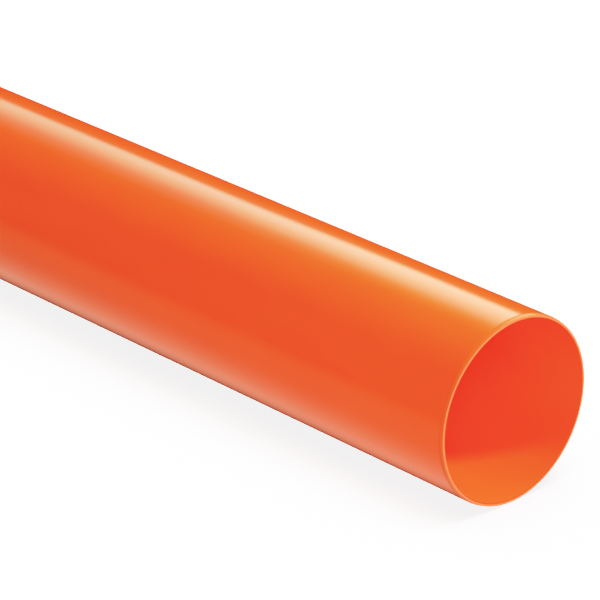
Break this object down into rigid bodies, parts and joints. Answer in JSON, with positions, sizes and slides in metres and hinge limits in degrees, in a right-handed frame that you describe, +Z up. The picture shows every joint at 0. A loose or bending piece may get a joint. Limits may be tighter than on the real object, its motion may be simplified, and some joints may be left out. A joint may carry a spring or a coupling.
{
  "type": "electrical conduit pipe",
  "caption": "Straight, plain-ended length of thin-walled orange plastic duct for electric cables, with a shallow lead-in bevel on the outer edge of each end.",
  "frame": {"origin": "on the tube's axis, halfway along its length", "axes": "+X along the tube's axis, +Z up with the tube lying on a floor"},
  "size_m": [1, 0.11, 0.11],
  "materials": {
    "duct_plastic": "glossy extruded PVC-U, orange all through the wall"
  },
  "bodies": {
    "root": {"duct_tube": "duct_plastic"}
  },
  "joints": []
}
